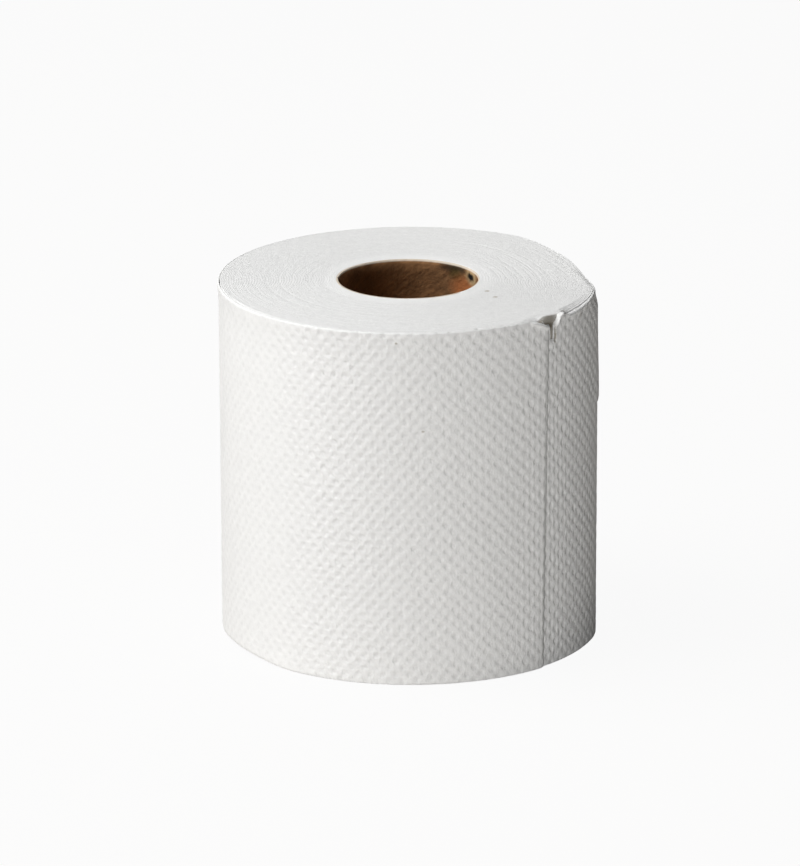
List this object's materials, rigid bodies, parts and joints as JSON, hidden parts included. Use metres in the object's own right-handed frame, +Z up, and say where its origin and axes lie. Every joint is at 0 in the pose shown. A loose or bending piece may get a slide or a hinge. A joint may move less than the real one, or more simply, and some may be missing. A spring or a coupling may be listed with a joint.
{
  "type": "toilet paper roll",
  "caption": "Upright roll of white embossed tissue wound on an open brown cardboard core, with the loose edge of the last sheet.",
  "frame": {"origin": "on the core's axis, at the bottom end that the roll stands on", "axes": "+Z up along the core's axis; -Y faces the picture's camera, with +X to its right"},
  "size_m": [0.104, 0.1054, 0.1],
  "materials": {
    "tissue": "matte",
    "cardboard": "matte"
  },
  "bodies": {
    "root": {"tissue_roll": "tissue", "cardboard_core": "cardboard"}
  },
  "joints": []
}
